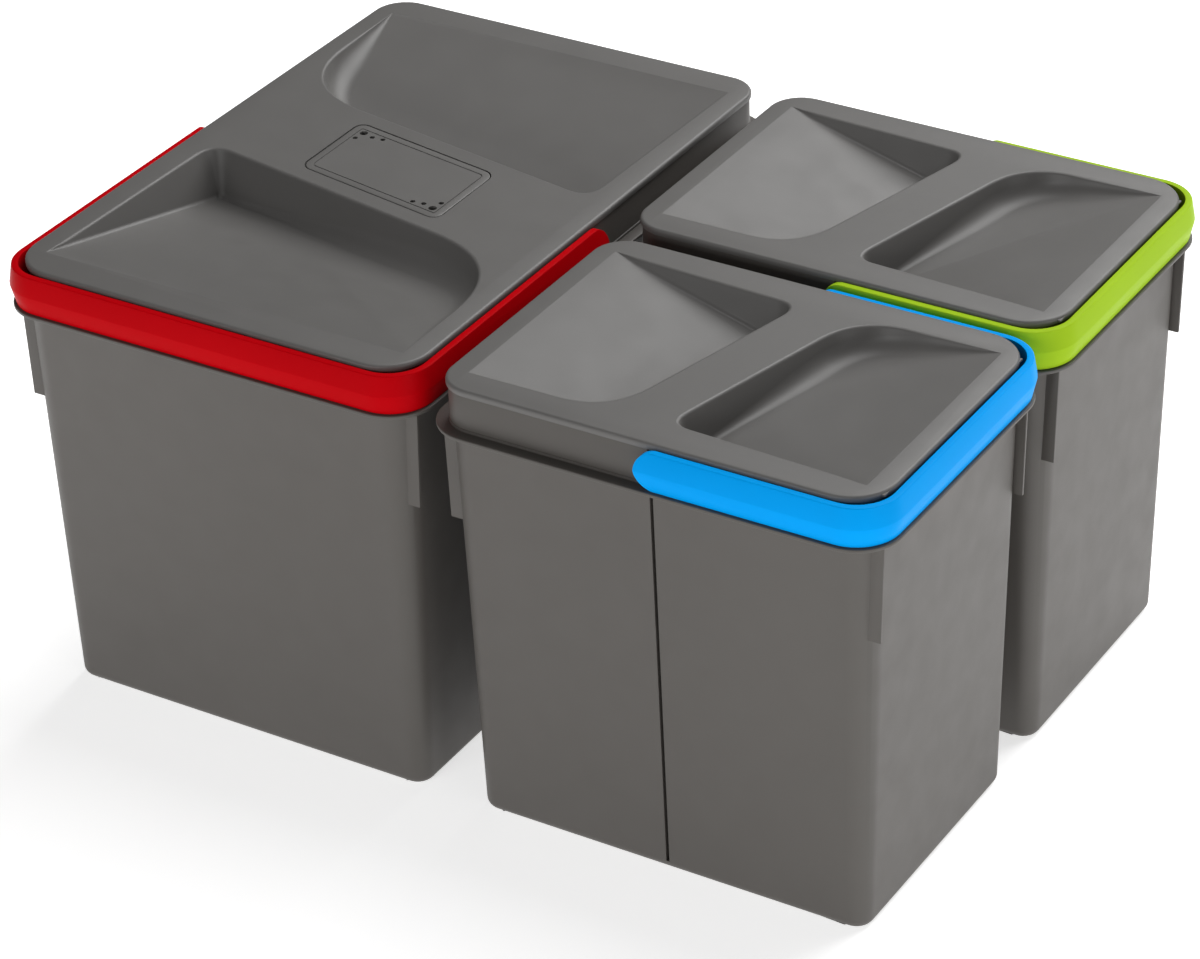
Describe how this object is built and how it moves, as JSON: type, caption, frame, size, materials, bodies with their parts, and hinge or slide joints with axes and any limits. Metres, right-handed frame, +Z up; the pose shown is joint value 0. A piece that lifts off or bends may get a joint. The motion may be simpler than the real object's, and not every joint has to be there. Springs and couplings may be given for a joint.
{
  "type": "recycling bin station",
  "caption": "Set of lift-out recycling bins, one large and two small, each a drafted tub with a scooped lid and a coloured bail handle; the large lid holds a carbon filter.",
  "frame": {"origin": "middle of the footprint on the floor, under the closed station", "axes": "+X from the large bin to the small bins, across the row; +Y away from the large bin's handle bar, towards the rear small bin; +Z up"},
  "size_m": [0.4916, 0.3558, 0.245],
  "materials": {
    "tub_plastic": "fine-grained satin polypropylene",
    "lid_plastic": "fine-grained satin polypropylene",
    "cover_plastic": "smooth satin polypropylene",
    "carbon_pad": "open non-woven felt",
    "red_plastic": "glossy",
    "blue_plastic": "glossy",
    "green_plastic": "glossy"
  },
  "bodies": {
    "large_bin": {"large_bin": "tub_plastic"},
    "large_handle": {"large_handle": "red_plastic", "large_left_stud": "red_plastic", "large_right_stud": "red_plastic"},
    "large_lid": {"large_lid": "lid_plastic"},
    "filter_cover": {"filter_cover": "cover_plastic", "carbon_filter": "carbon_pad"},
    "front_bin": {"front_bin": "tub_plastic"},
    "front_handle": {"front_handle": "blue_plastic", "front_left_stud": "blue_plastic", "front_right_stud": "blue_plastic"},
    "front_lid": {"front_lid": "lid_plastic"},
    "rear_bin": {"rear_bin": "tub_plastic"},
    "rear_handle": {"rear_handle": "green_plastic", "rear_left_stud": "green_plastic", "rear_right_stud": "green_plastic"},
    "rear_lid": {"rear_lid": "lid_plastic"}
  },
  "joints": [
    {"name": "large_handle_swing", "type": "hinge", "parent": "large_bin", "child": "large_handle", "pos_m": [-0.1235, -0.0061, 0.23265], "axis": [-1, 0, 0], "range_deg": [0, 90]},
    {"name": "large_lid_lift", "type": "slide", "parent": "large_bin", "child": "large_lid", "axis": [0, 0, 1], "range_m": [0, 0.1]},
    {"name": "filter_cover_lift", "type": "slide", "parent": "large_lid", "child": "filter_cover", "axis": [0, 0, 1], "range_m": [0, 0.03]},
    {"name": "front_bin_lift", "type": "slide", "parent": "large_bin", "child": "front_bin", "axis": [0, 0, 1], "range_m": [0, 0.28]},
    {"name": "front_handle_swing", "type": "hinge", "parent": "front_bin", "child": "front_handle", "pos_m": [0.13, -0.08875, 0.23265], "axis": [0, -1, 0], "range_deg": [0, 90]},
    {"name": "front_lid_lift", "type": "slide", "parent": "front_bin", "child": "front_lid", "axis": [0, 0, 1], "range_m": [0, 0.075]},
    {"name": "rear_bin_lift", "type": "slide", "parent": "large_bin", "child": "rear_bin", "axis": [0, 0, 1], "range_m": [0, 0.28]},
    {"name": "rear_handle_swing", "type": "hinge", "parent": "rear_bin", "child": "rear_handle", "pos_m": [0.13, 0.08875, 0.23265], "axis": [0, -1, 0], "range_deg": [0, 90]},
    {"name": "rear_lid_lift", "type": "slide", "parent": "rear_bin", "child": "rear_lid", "axis": [0, 0, 1], "range_m": [0, 0.075]}
  ]
}
